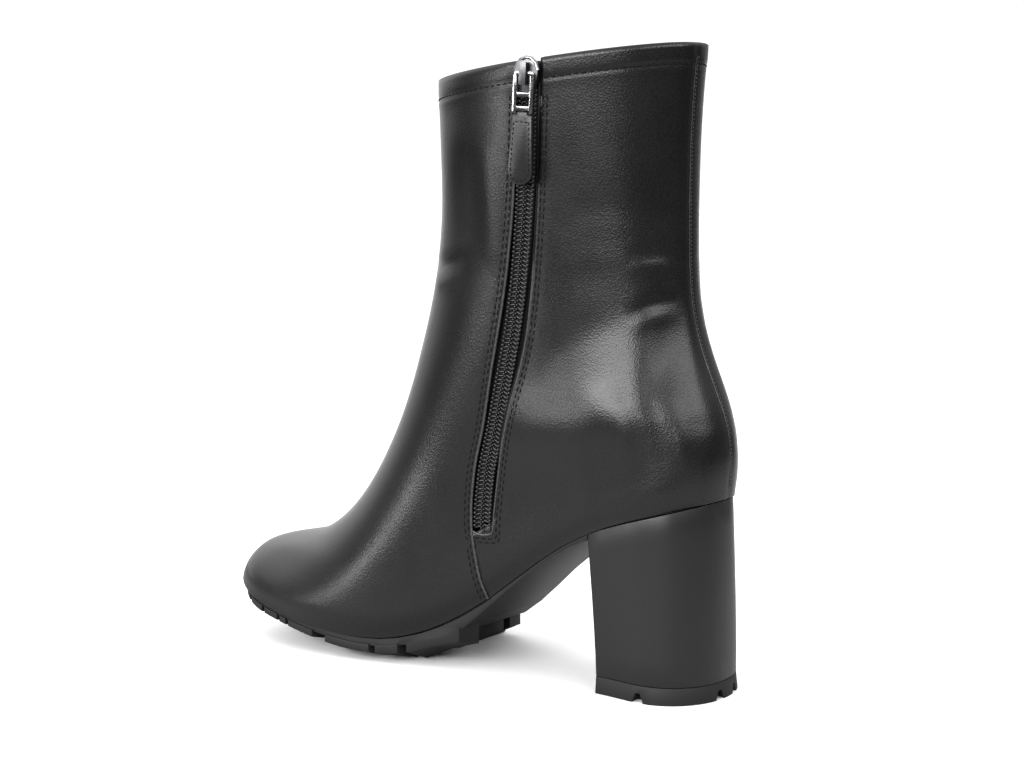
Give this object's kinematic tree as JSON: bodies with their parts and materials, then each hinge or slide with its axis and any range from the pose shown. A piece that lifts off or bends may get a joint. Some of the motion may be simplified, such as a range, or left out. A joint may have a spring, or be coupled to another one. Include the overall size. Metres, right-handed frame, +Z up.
{
  "type": "ankle boot",
  "caption": "Right ankle bootie in black leather with a rounded toe, a high block heel, a lugged forepart and a zip along the inner side with a swinging pull.",
  "frame": {"origin": "Middle of the heel's ground face, on the ground.", "axes": "+Y points to the toe, +X to the outer side of the right foot, -X to the inner side with the zip, and +Z up."},
  "size_m": [0.0816, 0.2262, 0.2429],
  "materials": {
    "upper_leather": "smooth black leather with a fine grain and a soft gloss",
    "insole_board": "matte board",
    "sole_rubber": "matte black rubber",
    "heel_cover": "matte black wrap",
    "lift_rubber": "matte black rubber",
    "zip_black": "black woven tape with nylon coils",
    "slider_metal": "polished",
    "pull_metal": "polished",
    "tab_leather": "smooth black leather with a stitched edge"
  },
  "bodies": {
    "bootie": {"upper": "upper_leather", "insole": "insole_board", "outsole": "sole_rubber", "heel": "heel_cover", "top_lift": "lift_rubber", "zip_tape": "zip_black", "zip_slider": "slider_metal"},
    "zip_pull": {"pull_frame": "pull_metal", "pull_tab": "tab_leather"}
  },
  "joints": [
    {"name": "pull_swing", "type": "hinge", "parent": "bootie", "child": "zip_pull", "pos_m": [-0.03939, 0.04563, 0.23134], "axis": [-0.1009, 0.9929, 0.0625], "range_deg": [0, 160]}
  ]
}
